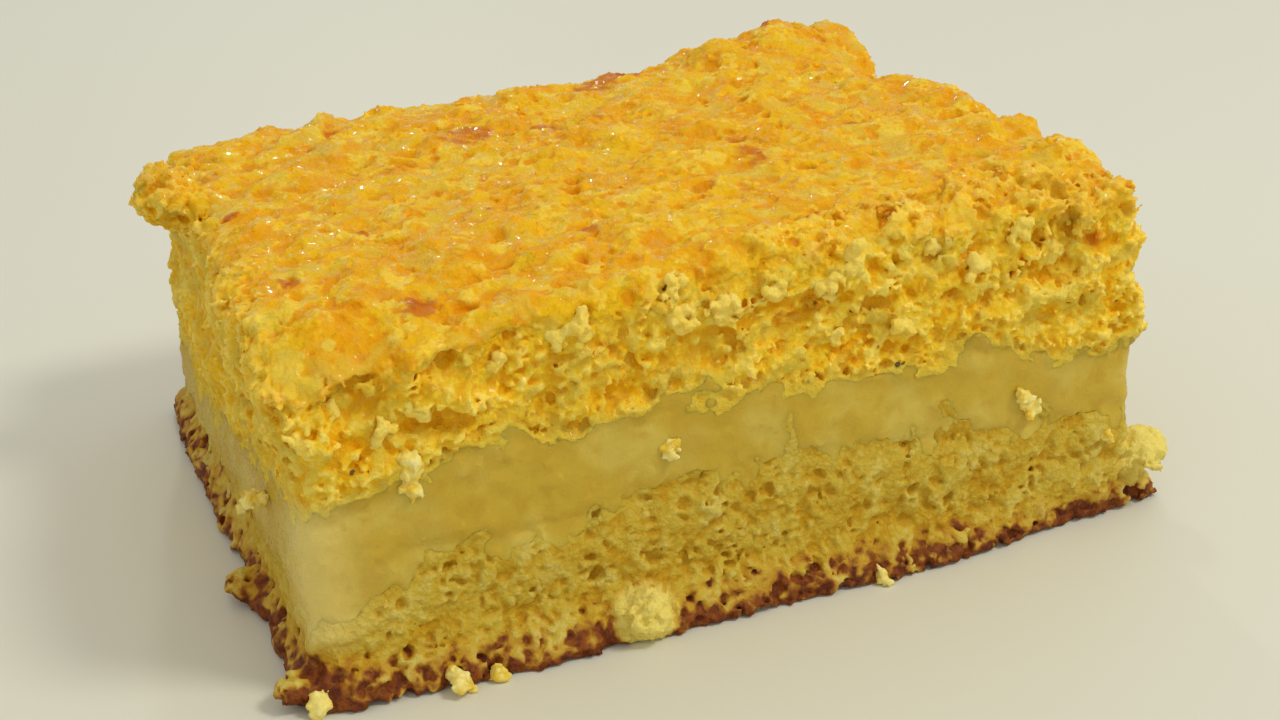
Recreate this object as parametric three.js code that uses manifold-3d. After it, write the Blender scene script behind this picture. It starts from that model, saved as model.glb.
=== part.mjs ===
// A cut block of cornmeal cake in three layers: a fine lower crumb on its browned, flaring base,
// a band of smooth set cream, and a coarse torn upper crumb under a craggy golden top.
// Millimetres, +Z up. The long front cut face looks towards -Y and the left end towards -X.
import * as THREE from "three";
import { ImprovedNoise } from "three/addons/math/ImprovedNoise.js";
import { mergeVertices } from "three/addons/utils/BufferGeometryUtils.js";
import Module from "manifold-3d";

// Driving dimensions. The block is drawn from its near left bottom corner: x runs along the front
// face to the right, y runs back from it and z runs up.
const length = 76;
const width = 58;
const topHeight = { nearLeft: 31, nearRight: 32.7, farLeft: 29, farRight: 31.2 };
const cornerRadius = { nearLeft: 2.4, other: 1.2 };

// The cream: level along the block with a hump, lower towards the right and sunk at the left end.
const creamRun = { top: 19.3, bottom: 10.8, wave: 0.5, wavePitch: 24, waveCrest: 37 };
const creamHump = { rise: 2.3, centre: 39, spread: 16 };
const creamRightFall = { drop: 2.6, from: 50 };
const creamLeftEnd = { blend: 14, settled: 45 };
const creamLeftTop = { near: 15.5, far: 8.5 };
const creamLeftBottom = { near: 6.5, far: 3.5 };
const creamSway = { height: 0.45, pitch: 52 };

// The browned base: the share of its thickness up to which it stands out whole, and where that ends.
const crust = { thickness: 1.8, wholeTo: 0.5, goneAt: 1.7, ragged: 0.7, raggedSize: 2.6 };
const crustFlare = { front: 2.2, frontNarrowsFrom: 52, left: 1.5, hidden: 1.2 };
const crustTip = { reach: 3.2, y: 1.6, spread: 2.6, from: 1.2, to: 3 };

// The sides lean: the left end overhangs at the top near the front and draws in at the back.
const leftNearLean = { foot: -0.6, rise: 1.8, from: 17, to: 29 };
const leftFarLean = { foot: 0.9, rise: -1.4, from: 4, to: 28 };
const rightLean = { rise: -0.8, from: 19, to: 26 };

// How rough each layer is: heights and sizes of its lumps, and how far its surface is set back.
const upperRelief = { clump: 1.3, clumpSize: 5.2, grain: 0.8, grainSize: 2.8, setBack: 0.8, grows: 1.6 };
const lowerRelief = { grain: 0.7, grainSize: 2.4, setBack: -0.1, grows: 1.4 };
const creamRelief = { swell: 0.25, swellSize: 6, setBack: 0.3, margin: 0.1 };
const reliefReach = 7;

const topCrags = [
  { height: 1.1, size: 7 },
  { height: 0.7, size: 3.4 },
];
const lumpAverage = 0.4;
const ridge = { rise: 1.7, fromX: 52, toX: 59, fromY: 40, toY: 52 };
const notch = { depth: 4.6, fromX: 67, toX: 74, y: 46, spread: 4.2 };
const brokenEdge = { drop: 1.2, reach: 1.5 };
const brokenCorner = { drop: 2.8, alongFront: 13, inward: 3.6 };
const spikes = [
  { x: 16.5, y: 57, rise: 2.2, spread: 1.5 },
  { x: 22.8, y: 57, rise: 2.4, spread: 1.4 },
];

// Crumbs of a few millimetres that cling to the block: centre and half sizes.
const clinging = {
  leftFlap: { at: [-1.5, 42, 29.2], half: [2.9, 4.6, 3.2] },
  rightFoot: { at: [77.9, 1.2, 5.3], half: [2.5, 2.3, 2.4] },
  frontFoot: { at: [27.8, -2.2, 2.7], half: [2.3, 1.9, 2.2] },
  cornerChunk: { at: [-1.3, 0.6, 1.7], half: [1.8, 1.7, 1.4] },
  leftBlob: { at: [-1.9, 18.3, 1.5], half: [1.7, 2.3, 1.2] },
};
const crumbShape = { detail: 3, core: 0.82, bump: 0.3, bumpSize: 0.8 };

const layerGap = 0.3;
const grid = { alongLength: 46, alongWidth: 34 };
const bands = { lowerCrumb: 4, cream: 4, upperCrumb: 9 };

const looks = {
  lowerCrumb: { color: 0xb09029, roughness: 0.9 },
  cream: { color: 0xb89a45, roughness: 0.45 },
  upperCrumb: { color: 0xd4a62c, roughness: 0.85 },
};

const mix = THREE.MathUtils.lerp;
const { smoothstep } = THREE.MathUtils;
const perlin = new ImprovedNoise();

function noise(x, y, z, size) {
  return perlin.noise(x / size, y / size, z / size);
}

// Rounded lumps parted by sharp creases, from 0 in a crease to about 1 on a lump.
function lumps(x, y, z, size) {
  return 2 * Math.abs(noise(x, y, z, size));
}

function bell(distance, spread) {
  return Math.exp(-((distance / spread) ** 2));
}

function sway(y) {
  return creamSway.height * Math.sin((2 * Math.PI * y) / creamSway.pitch);
}

// Takes a height of the cream at the left end over into its height along the block.
function fromLeftEnd(end, run, x, y) {
  const atEnd = mix(end.near, end.far, smoothstep(y, 0, creamLeftEnd.settled));
  return mix(atEnd, run + sway(y), smoothstep(x, 0, creamLeftEnd.blend));
}

function creamTop(x, y) {
  const phase = (2 * Math.PI * (x - creamRun.waveCrest)) / creamRun.wavePitch;
  const fall = creamRightFall.drop * smoothstep(x, creamRightFall.from, length);
  return fromLeftEnd(creamLeftTop, creamRun.top + creamRun.wave * Math.cos(phase) - fall, x, y);
}

function creamBottom(x, y) {
  const hump = creamHump.rise * bell(x - creamHump.centre, creamHump.spread);
  return fromLeftEnd(creamLeftBottom, creamRun.bottom + hump, x, y);
}

// The browned top: a tilted plane with crags, a raised far right part, a piece torn out of the
// right edge, and edges that crumbled in the cutting.
function cakeTop(x, y) {
  const near = mix(topHeight.nearLeft, topHeight.nearRight, x / length);
  const far = mix(topHeight.farLeft, topHeight.farRight, x / length);
  const plane = mix(near, far, y / width);
  const raised =
    ridge.rise * smoothstep(x, ridge.fromX, ridge.toX) * smoothstep(y, ridge.fromY, ridge.toY);
  const torn =
    notch.depth * smoothstep(x, notch.fromX, notch.toX) * bell(y - notch.y, notch.spread);
  const edge = Math.min(x, y, length - x, width - y);
  const crumbled =
    brokenEdge.drop * Math.exp(-edge / brokenEdge.reach) +
    brokenCorner.drop * bell(x, brokenCorner.alongFront) * bell(y, brokenCorner.inward);
  const crags = topCrags.map((c) => c.height * (lumps(x, y, 0.5, c.size) - lumpAverage));
  const spires = spikes.map((s) => s.rise * bell(Math.hypot(x - s.x, y - s.y), s.spread));
  const added = [...crags, ...spires].reduce((sum, height) => sum + height, 0);
  return plane + raised + added - torn - crumbled;
}

// How far the surface stands out at a height, on every side alike: coarse lumps on the upper
// crumb, a smooth and slightly sunk cream, and a fine lower crumb.
function relief(x, y, z) {
  const { margin } = creamRelief;
  const inUpper = smoothstep(z - creamTop(x, y), margin, upperRelief.grows);
  const inLower = smoothstep(creamBottom(x, y) - z, margin, lowerRelief.grows);
  const coarse =
    upperRelief.clump * lumps(x, y, z, upperRelief.clumpSize) +
    upperRelief.grain * lumps(x, y, z, upperRelief.grainSize) -
    upperRelief.setBack;
  const fine = lowerRelief.grain * noise(x, y, z, lowerRelief.grainSize) - lowerRelief.setBack;
  const smooth = creamRelief.swell * noise(x, y, z, creamRelief.swellSize) - creamRelief.setBack;
  return mix(mix(smooth, fine, inLower), coarse, inUpper);
}

// The browned base spreads past the crumb above it, and its rim is broken.
function foot(x, y, z, flare) {
  const level = z / crust.thickness;
  const present = 1 - smoothstep(level, crust.wholeTo, crust.goneAt);
  return present * (flare + crust.ragged * noise(x, y, crust.thickness, crust.raggedSize));
}

function leanOut({ foot: base = 0, rise, from, to }, z) {
  return base + rise * smoothstep(z, from, to);
}

const sides = {
  front: (x, z) => {
    const narrowed = 1 - smoothstep(x, crustFlare.frontNarrowsFrom, length);
    return foot(x, 0, z, crustFlare.front * narrowed);
  },
  back: (x, z) => foot(x, width, z, crustFlare.hidden),
  left: (y, z) =>
    foot(0, y, z, crustFlare.left) +
    mix(leanOut(leftNearLean, z), leanOut(leftFarLean, z), y / width),
  right: (y, z) => {
    const low = 1 - smoothstep(z, crustTip.from, crustTip.to);
    const tip = crustTip.reach * bell(y - crustTip.y, crustTip.spread) * low;
    return foot(length, y, z, crustFlare.hidden) + leanOut(rightLean, z) + tip;
  },
};

function roundCorner(x, y) {
  const nearLeft = x < length / 2 && y < width / 2;
  const r = nearLeft ? cornerRadius.nearLeft : cornerRadius.other;
  const cx = THREE.MathUtils.clamp(x, r, length - r);
  const cy = THREE.MathUtils.clamp(y, r, width - r);
  const dx = x - cx;
  const dy = y - cy;
  if (dx === 0 || dy === 0) return [x, y];
  const pull = Math.max(Math.abs(dx), Math.abs(dy)) / Math.hypot(dx, dy);
  return [cx + dx * pull, cy + dy * pull];
}

// Moves a point of the plain block to its place on the real one.
function place(x, y, z) {
  const near = (distance) => 1 - smoothstep(distance, 0, reliefReach);
  const [px, py] = roundCorner(x, y);
  const out = relief(x, y, z);
  const dx = near(length - x) * (sides.right(y, z) + out) - near(x) * (sides.left(y, z) + out);
  const dy = near(width - y) * (sides.back(x, z) + out) - near(y) * (sides.front(x, z) + out);
  return [px + dx, py + dy, z];
}

// The cells of the block's rim, counterclockwise from the near left corner.
function rim() {
  const { alongLength: n, alongWidth: m } = grid;
  const cells = [];
  for (let i = 0; i < n; i++) cells.push([i, 0]);
  for (let j = 0; j < m; j++) cells.push([n, j]);
  for (let i = n; i > 0; i--) cells.push([i, m]);
  for (let j = m; j > 0; j--) cells.push([0, j]);
  return cells;
}

const cellX = (i) => (length * i) / grid.alongLength;
const cellY = (j) => (width * j) / grid.alongWidth;

// One layer: rings of points up its sides, closed below by a fan and above by a fan or by the
// craggy grid of the top. levels(x, y) lists the heights of the rings at a place on the rim.
function layerGeometry(levels, { craggyTop = false } = {}) {
  const cells = rim();
  const ladders = cells.map(([i, j]) => levels(cellX(i), cellY(j)));
  const ringCount = ladders[0].length;
  const points = [];
  const faces = [];
  const add = (point) => points.push(point) - 1;
  const rings = Array.from({ length: ringCount }, (_, level) =>
    cells.map(([i, j], k) => add(place(cellX(i), cellY(j), ladders[k][level]))),
  );
  const next = (k) => (k + 1) % cells.length;
  for (let level = 0; level + 1 < ringCount; level++) {
    const low = rings[level];
    const high = rings[level + 1];
    cells.forEach((_, k) => {
      faces.push([low[k], low[next(k)], high[next(k)]]);
      faces.push([low[k], high[next(k)], high[k]]);
    });
  }
  const middle = levels(length / 2, width / 2);
  const underside = add([length / 2, width / 2, middle[0]]);
  cells.forEach((_, k) => faces.push([underside, rings[0][next(k)], rings[0][k]]));
  const roof = rings[ringCount - 1];
  if (craggyTop) {
    const placed = new Map(cells.map(([i, j], k) => [`${i},${j}`, roof[k]]));
    const corner = (i, j) => {
      const key = `${i},${j}`;
      if (!placed.has(key)) {
        placed.set(key, add(place(cellX(i), cellY(j), cakeTop(cellX(i), cellY(j)))));
      }
      return placed.get(key);
    };
    for (let i = 0; i < grid.alongLength; i++) {
      for (let j = 0; j < grid.alongWidth; j++) {
        const [a, b] = [corner(i, j), corner(i + 1, j)];
        const [c, d] = [corner(i + 1, j + 1), corner(i, j + 1)];
        faces.push([a, b, c], [a, c, d]);
      }
    }
  } else {
    const lid = add([length / 2, width / 2, middle[ringCount - 1]]);
    cells.forEach((_, k) => faces.push([lid, roof[k], roof[next(k)]]));
  }
  const geometry = new THREE.BufferGeometry();
  geometry.setAttribute("position", new THREE.Float32BufferAttribute(points.flat(), 3));
  geometry.setIndex(faces.flat());
  return geometry;
}

// Heights from low to high in equal steps, without the first.
function steps(low, high, count) {
  return Array.from({ length: count }, (_, k) => mix(low, high, (k + 1) / count));
}

function lowerCrumbLevels(x, y) {
  const top = creamBottom(x, y) - layerGap / 2;
  const browned = [0, crust.wholeTo * crust.thickness, crust.thickness];
  return [...browned, ...steps(crust.thickness, top, bands.lowerCrumb)];
}

function creamLevels(x, y) {
  const low = creamBottom(x, y) + layerGap / 2;
  return [low, ...steps(low, creamTop(x, y) - layerGap / 2, bands.cream)];
}

function upperCrumbLevels(x, y) {
  const low = creamTop(x, y) + layerGap / 2;
  return [low, ...steps(low, cakeTop(x, y), bands.upperCrumb)];
}

// A clinging crumb: a ball with lumps of its own, stretched to its half sizes.
function crumbGeometry({ at, half }) {
  const geometry = new THREE.IcosahedronGeometry(1, crumbShape.detail);
  const position = geometry.getAttribute("position");
  const centre = new THREE.Vector3(...at);
  const stretch = new THREE.Vector3(...half);
  for (let k = 0; k < position.count; k++) {
    const point = new THREE.Vector3().fromBufferAttribute(position, k);
    const { x, y, z } = point.clone().add(centre);
    point.multiplyScalar(crumbShape.core + crumbShape.bump * lumps(x, y, z, crumbShape.bumpSize));
    point.multiply(stretch).add(centre);
    position.setXYZ(k, point.x, point.y, point.z);
  }
  return geometry;
}

const manifold = await Module();
manifold.setup();

function toSolid(geometry) {
  const bare = geometry.clone();
  bare.deleteAttribute("normal");
  bare.deleteAttribute("uv");
  const merged = mergeVertices(bare);
  return new manifold.Manifold(
    new manifold.Mesh({
      numProp: 3,
      vertProperties: new Float32Array(merged.getAttribute("position").array),
      triVerts: new Uint32Array(merged.index.array),
    }),
  );
}

function toGeometry(solid) {
  const { vertProperties, triVerts } = solid.getMesh();
  const geometry = new THREE.BufferGeometry();
  geometry.setAttribute("position", new THREE.BufferAttribute(vertProperties, 3));
  geometry.setIndex(new THREE.BufferAttribute(triVerts, 1));
  return geometry;
}

function withCrumbs(geometry, crumbs) {
  const joined = crumbs.reduce(
    (solid, crumb) => solid.add(toSolid(crumbGeometry(crumb))),
    toSolid(geometry),
  );
  return toGeometry(joined);
}

function layerMesh(name, geometry, look) {
  geometry.computeVertexNormals();
  const mesh = new THREE.Mesh(geometry, new THREE.MeshStandardMaterial({ ...look, metalness: 0 }));
  mesh.name = name;
  return mesh;
}

function lowerCrumb() {
  const { rightFoot, frontFoot, cornerChunk, leftBlob } = clinging;
  const geometry = layerGeometry(lowerCrumbLevels);
  return withCrumbs(geometry, [rightFoot, frontFoot, cornerChunk, leftBlob]);
}

function upperCrumb() {
  const geometry = layerGeometry(upperCrumbLevels, { craggyTop: true });
  return withCrumbs(geometry, [clinging.leftFlap]);
}

const cake = new THREE.Group();
cake.add(
  layerMesh("lower_crumb", lowerCrumb(), looks.lowerCrumb),
  layerMesh("cream_layer", layerGeometry(creamLevels), looks.cream),
  layerMesh("upper_crumb", upperCrumb(), looks.upperCrumb),
);

// The part's origin is the middle of its underside.
const box = new THREE.Box3().setFromObject(cake);
const middle = box.getCenter(new THREE.Vector3());
cake.position.set(-middle.x, -middle.y, -box.min.z);

export default cake;
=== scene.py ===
import math

import bpy
import numpy as np
import openvdb
from mathutils import Matrix, Vector


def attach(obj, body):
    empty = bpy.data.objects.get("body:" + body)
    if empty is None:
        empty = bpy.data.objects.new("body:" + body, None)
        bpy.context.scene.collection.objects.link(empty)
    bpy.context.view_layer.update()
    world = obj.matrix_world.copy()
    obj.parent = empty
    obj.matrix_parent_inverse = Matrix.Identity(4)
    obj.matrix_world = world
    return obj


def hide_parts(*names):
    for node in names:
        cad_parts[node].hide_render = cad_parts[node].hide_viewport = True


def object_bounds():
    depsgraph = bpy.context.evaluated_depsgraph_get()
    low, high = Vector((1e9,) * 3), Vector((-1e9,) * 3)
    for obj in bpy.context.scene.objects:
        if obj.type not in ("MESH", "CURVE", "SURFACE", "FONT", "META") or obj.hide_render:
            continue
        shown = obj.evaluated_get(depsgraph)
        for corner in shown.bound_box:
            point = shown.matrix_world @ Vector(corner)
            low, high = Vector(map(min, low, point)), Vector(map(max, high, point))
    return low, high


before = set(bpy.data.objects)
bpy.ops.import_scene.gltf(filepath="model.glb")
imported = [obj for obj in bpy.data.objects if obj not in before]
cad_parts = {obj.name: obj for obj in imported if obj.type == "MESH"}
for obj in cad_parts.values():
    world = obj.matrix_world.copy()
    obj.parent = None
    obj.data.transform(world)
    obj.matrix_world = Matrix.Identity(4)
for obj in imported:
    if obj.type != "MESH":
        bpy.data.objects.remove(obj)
cad_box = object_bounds()

# --- The cut block -------------------------------------------------------------------------------
# A block of baked cornmeal cake in three layers, cut from a tray with a knife: a fine lower crumb,
# a band of set cream and a coarse upper crumb under a golden skin. All of it is worked out as
# distances from the solids, in mm from the near left bottom corner, with the layers grown together.
MM = 0.001
CELL = 0.21
REACH = 2.4
MARGIN = 1.6
NEAR_LEFT_CORNER = np.array((-38.02, -28.0, 0.0))
CAKE_LENGTH = 76.0
CAKE_WIDTH = 58.0
GAP_CLOSED = 0.17
ROUNDING = 0.45
WORN_BACK = 0.1
SEAMS_WANDER_WITHIN = 2.2
CELLS_COME_IN = 10

low_mm = np.array(cad_box[0]) / MM - MARGIN
high_mm = np.array(cad_box[1]) / MM + MARGIN
first_cell = np.floor(low_mm / CELL).astype(int)
cells = np.ceil(high_mm / CELL).astype(int) - first_cell
cells = tuple(int(n + CELLS_COME_IN - n % CELLS_COME_IN) for n in cells)
cell_grid = openvdb.createLinearTransform(CELL)


def along(axis, values):
    """Lays a row of values along one axis of the block."""
    shape = [1, 1, 1]
    shape[axis] = -1
    return np.asarray(values, np.float32).reshape(shape)


X, Y, Z = (
    along(axis, (first_cell[axis] + np.arange(cells[axis])) * CELL - NEAR_LEFT_CORNER[axis])
    for axis in range(3)
)


def distance_to(node):
    """How far each cell lies outside a solid, in mm, and below 0 inside it."""
    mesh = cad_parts[node].data
    mesh.calc_loop_triangles()
    points = np.empty(len(mesh.vertices) * 3, np.float32)
    mesh.vertices.foreach_get("co", points)
    triangles = np.empty(len(mesh.loop_triangles) * 3, np.int32)
    mesh.loop_triangles.foreach_get("vertices", triangles)
    level_set = openvdb.FloatGrid.createLevelSetFromPolygons(
        points.reshape(-1, 3) / MM,
        triangles=triangles.reshape(-1, 3),
        transform=cell_grid,
        halfWidth=REACH / CELL,
    )
    distances = np.empty(cells, np.float32)
    level_set.copyToArray(distances, ijk=tuple(first_cell.tolist()))
    return distances


wave_squared = (
    along(0, np.fft.fftfreq(cells[0], CELL)) ** 2
    + along(1, np.fft.fftfreq(cells[1], CELL)) ** 2
    + along(2, np.fft.rfftfreq(cells[2], CELL)) ** 2
)


def smoothed(waves, width):
    """Blurs a field, given as its waves, over `width` mm."""
    waves = waves * np.exp(-2 * (math.pi * width) ** 2 * wave_squared)
    return np.fft.irfftn(waves, s=cells).astype(np.float32)


lower_distance = distance_to("lower_crumb")
cream_distance = distance_to("cream_layer")
upper_distance = distance_to("upper_crumb")
block = np.minimum(np.minimum(lower_distance, cream_distance), upper_distance) - GAP_CLOSED
block = smoothed(np.fft.rfftn(block), ROUNDING) + WORN_BACK
over_cream = (upper_distance - np.minimum(cream_distance, lower_distance)) / 2
under_cream = (lower_distance - np.minimum(cream_distance, upper_distance)) / 2
near_side = np.clip(1 + block / SEAMS_WANDER_WITHIN, 0, 1)
del lower_distance, cream_distance, upper_distance

# --- The grain of the crumb ----------------------------------------------------------------------
# Cornmeal bakes into grains and air holes of every size from half a millimetre to half a
# centimetre. The same random humps, seeded once and blurred to each size, shape and colour it all.
static = np.fft.rfftn(np.random.default_rng(5).standard_normal(cells, dtype=np.float32))
static = static.astype(np.complex64)


def moved(field, *mm):
    """The same humps taken from another place, so that they don't repeat the first ones."""
    return np.roll(field, [int(distance / CELL) for distance in mm], (0, 1, 2))


def humps(size):
    """Even random humps and hollows about `size` mm apart, mostly from -2 to 2."""
    field = smoothed(static, size / 4)
    field /= field.std()
    return field


rough_5 = humps(5.5)
rough_4 = moved(humps(4.2), 31, 14, 9)
rough_2 = moved(humps(2.3), 10, 5, 3)
rough_1 = moved(humps(1.15), 20, 10, 6)
rough_half = moved(humps(0.66), 50, 33, 21)
del static


def ramp(field, start, end):
    """Goes softly from 0 at `start` to 1 at `end`."""
    t = np.clip((field - start) / (end - start), 0, 1)
    return t * t * (3 - 2 * t)


# --- The top's height ----------------------------------------------------------------------------
# The cake rises to a ridge at the far right, so depths under the skin are measured from the top's
# own height, evened out over a few mm.
TOP_STARTS_AT = 20.0
EVENED_OVER = 1.6
NEARLY_NOTHING = 1e-4
filled = block < 0
column_height = np.where(filled.any(2), Z.ravel()[cells[2] - 1 - filled[:, :, ::-1].argmax(2)], 0)
flat_squared = (
    np.fft.fftfreq(cells[0], CELL)[:, None] ** 2 + np.fft.rfftfreq(cells[1], CELL)[None] ** 2
)


def evened(columns):
    """Blurs a map of the top."""
    waves = np.fft.rfft2(columns) * np.exp(-2 * (math.pi * EVENED_OVER) ** 2 * flat_squared)
    return np.fft.irfft2(waves, s=cells[:2]).astype(np.float32)


under_top = (filled.any(2) & (column_height > TOP_STARTS_AT)).astype(np.float32)
top_height = evened(column_height * under_top) / np.maximum(evened(under_top), NEARLY_NOTHING)
below_top = top_height[:, :, None] - Z
del filled

# --- The cut and torn faces ----------------------------------------------------------------------
# The knife goes through all three layers at once, so their faces are one surface: smooth in the
# cream and at the near left corner, where the knife smeared it, porous in the lower crumb, torn
# into flakes and hollows in the upper crumb, and granular on the baked skin. All depths are in mm.
BEND, CRINKLE, FINE_CRINKLE = 0.4, 0.1, 0.06
BALL_MARGIN, CELLS_OFF_LEVEL = 0.7, 0.6
LOWER_SEAM_WANDERS = (0.4, 0.3, 0.2)
UPPER_SEAM_WANDERS = (0.4, 0.25, 0.17, 0.07)
LOWER_SETS_IN, UPPER_SETS_IN = (-0.4, 1.4), (0.0, 1.3)

warp_x = X + BEND * rough_5 + CRINKLE * rough_2 + FINE_CRINKLE * rough_1
warp_y = Y + BEND * moved(rough_5, 8, 3, 2) + moved(CRINKLE * rough_2 + FINE_CRINKLE * rough_1, 6, 0, 0)
warp_z = Z + BEND * moved(rough_5, 3, 11, 4) + moved(CRINKLE * rough_2 + FINE_CRINKLE * rough_1, 0, 9, 0)


def places_on(level, where, count, rng):
    """Random places where the block's distance is near `level`."""
    found = np.flatnonzero((np.abs(block - level) < CELLS_OFF_LEVEL * CELL) & where)
    chosen = rng.choice(found, min(count, len(found)), replace=False)
    index = np.stack(np.unravel_index(chosen, cells), 1) + rng.uniform(-0.5, 0.5, (len(chosen), 3))
    return (first_cell + index) * CELL - NEAR_LEFT_CORNER


def set_balls(field, centres, radii, blend, carve=False):
    """Adds crooked balls to a field of distances, or carves them out of it."""
    sign = -1 if carve else 1
    for centre, radius in zip(centres, radii):
        reach = radius + blend + BALL_MARGIN
        start = np.floor((centre - reach + NEAR_LEFT_CORNER) / CELL).astype(int) - first_cell
        stop = np.ceil((centre + reach + NEAR_LEFT_CORNER) / CELL).astype(int) - first_cell + 1
        start, stop = np.maximum(start, 0), np.minimum(stop, cells)
        part = tuple(slice(a, b) for a, b in zip(start, stop))
        if (stop <= start).any():
            continue
        middle = np.round((centre + NEAR_LEFT_CORNER) / CELL).astype(int) - first_cell
        middle = tuple(np.clip(middle, 0, np.array(cells) - 1))
        away = (
            (warp_x[part] - warp_x[middle]) ** 2
            + (warp_y[part] - warp_y[middle]) ** 2
            + (warp_z[part] - warp_z[middle]) ** 2
        )
        ball = np.sqrt(away) - radius
        own = sign * field[part]
        t = np.clip(0.5 + 0.5 * (own - ball) / blend, 0, 1)
        field[part] = sign * (own + (ball - own) * t - blend * t * (1 - t))


def wander(*depths):
    """Humps of each size from 4 mm down, each to its own depth."""
    return sum(depth * field for depth, field in zip(depths, (rough_4, rough_2, rough_1, rough_half)))


fine_ridges = np.abs(rough_half)
small_ridges = np.abs(rough_1)
below_cream = -(under_cream + near_side * wander(*LOWER_SEAM_WANDERS))
above_cream = -(over_cream + near_side * wander(*UPPER_SEAM_WANDERS))
in_lower = ramp(below_cream, *LOWER_SETS_IN)
in_upper = ramp(above_cream, *UPPER_SETS_IN)
del over_cream, under_cream, near_side

SMEAR_AT_X, SMEAR_WIDTH, SMEAR_LENGTH = 0.6, 3.6, 5.0
SMEAR_FOOT, SMEAR_HEAD = (3.5, 6.5), (15, 18.5)
LEFT_FACE, LEFT_FACE_HEAD = (0.5, 3.0), (24, 27)
SMEAR_SMOOTHS, LEFT_FACE_SMOOTHER = 0.75, 0.25

smeared = np.exp(-(((X - SMEAR_AT_X) / SMEAR_WIDTH) ** 2)) * np.exp(-((Y / SMEAR_LENGTH) ** 2))
smeared = smeared * ramp(Z, *SMEAR_FOOT) * (1 - ramp(Z, *SMEAR_HEAD))
left_face = (1 - ramp(X, *LEFT_FACE)) * (1 - ramp(Z, *LEFT_FACE_HEAD))
kept_rough = (1 - SMEAR_SMOOTHS * smeared) * (1 - LEFT_FACE_SMOOTHER * left_face)

CREAM_SWELLS, CREAM_DIMPLES, CREAM_RIDGES, CREAM_FINE_RIDGES = 0.06, 0.05, 0.07, 0.04
# Single hollows of the front face: place along and up it, half width, half height and depth.
CREAM_HOLLOW = (11.1, 11.9, 2.2, 0.6, 0.45)
TORN_HOLLOWS = (
    (53.3, 20.9, 3.8, 1.1, 0.5),
    (42.5, 26.6, 2.4, 1.0, 0.8),
    (33.5, 30.4, 2.0, 1.0, 0.7),
    (22.4, 19.6, 2.6, 1.0, 0.8),
    (11.9, 22.4, 2.2, 1.0, 0.9),
    (5.8, 18.4, 1.8, 0.8, 0.5),
    (34.8, 23.8, 3.0, 1.2, 0.7),
    (17.7, 24.8, 3.4, 1.2, 0.9),
    (4.9, 22.9, 1.6, 1.0, 0.6),
    (61.4, 23.5, 3.0, 1.0, 0.6),
    (27.0, 21.8, 2.0, 0.8, 0.5),
    (46.5, 21.6, 2.4, 0.9, 0.6),
)
HOLLOW_STRAYS, HOLLOW_REACH = 0.5, 3.0

surface = block + (1 - in_lower) * (1 - in_upper) * (
    CREAM_SWELLS * rough_4
    + CREAM_DIMPLES * rough_2
    - CREAM_RIDGES * small_ridges
    - CREAM_FINE_RIDGES * fine_ridges
)


def press_in(x, z, half_width, half_height, depth):
    """Sinks a long hollow into the front face."""
    across = np.exp(-(((X + HOLLOW_STRAYS * rough_2[:, :1, :1] - x) / half_width) ** 2))
    upward = np.exp(-(((Z - z) / half_height) ** 2))
    return depth * across * upward * np.exp(-((Y / HOLLOW_REACH) ** 2))


surface += press_in(*CREAM_HOLLOW)
torn_hollows = sum(press_in(*hollow_place) for hollow_place in TORN_HOLLOWS)

# Hollows: which humps, moved by, how deep, how much deeper in coarse crumb, and the heights of the
# humps at which a hollow starts and is at its full depth.
LOWER_WORN = 0.18
LOWER_HOLLOWS = (
    (rough_2, (7, 3, 5), 0.38, 0.0, 0.8, 2.2),
    (rough_1, (0, 0, 0), 0.4, 0.0, 0.5, 1.9),
    (rough_half, (0, 0, 0), 0.24, 0.0, 0.4, 1.9),
)
LOWER_LUMPS, LOWER_RIDGES = 0.06, 0.09
PORES, PORE_LEVEL, PORE_EDGE = 1500, -0.02, 0.12
PORE_SPREAD, PORE_STEP, SMALLEST_PORE = 4, 0.045, 0.08
POROUS_ENOUGH, PORES_START_AT = 0.6, 0.6
BUBBLES, BUBBLE_LEVEL, BUBBLE_RADII = 220, 0.1, (0.3, 0.6)
BUBBLES_FROM, BUBBLES_TO = 1.2, 3.8


def dug(hollows, coarse=0.0):
    """The depth of each row of hollows."""
    for field, shift, depth, extra, start, full in hollows:
        yield (depth + extra * coarse) * ramp(moved(field, *shift), start, full)


porous = in_lower * kept_rough
surface += porous * (
    sum(dug(LOWER_HOLLOWS), LOWER_WORN)
    - LOWER_LUMPS * np.abs(rough_2)
    - LOWER_RIDGES * moved(small_ridges, 5, 0, 9)
    - LOWER_RIDGES * moved(fine_ridges, 0, 7, 0)
)
pore_rng = np.random.default_rng(21)
pore_places = places_on(PORE_LEVEL, (porous > POROUS_ENOUGH) & (Z > PORES_START_AT), PORES, pore_rng)
pore_radii = pore_rng.gamma(PORE_SPREAD, PORE_STEP, len(pore_places)) + SMALLEST_PORE
set_balls(surface, pore_places, pore_radii, PORE_EDGE, carve=True)
bubble_rng = np.random.default_rng(22)
bubble_places = places_on(BUBBLE_LEVEL, (Z > BUBBLES_FROM) & (Z < BUBBLES_TO), BUBBLES, bubble_rng)
bubble_radii = bubble_rng.uniform(*BUBBLE_RADII, len(bubble_places))
set_balls(surface, bubble_places, bubble_radii, PORE_EDGE, carve=True)

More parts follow.
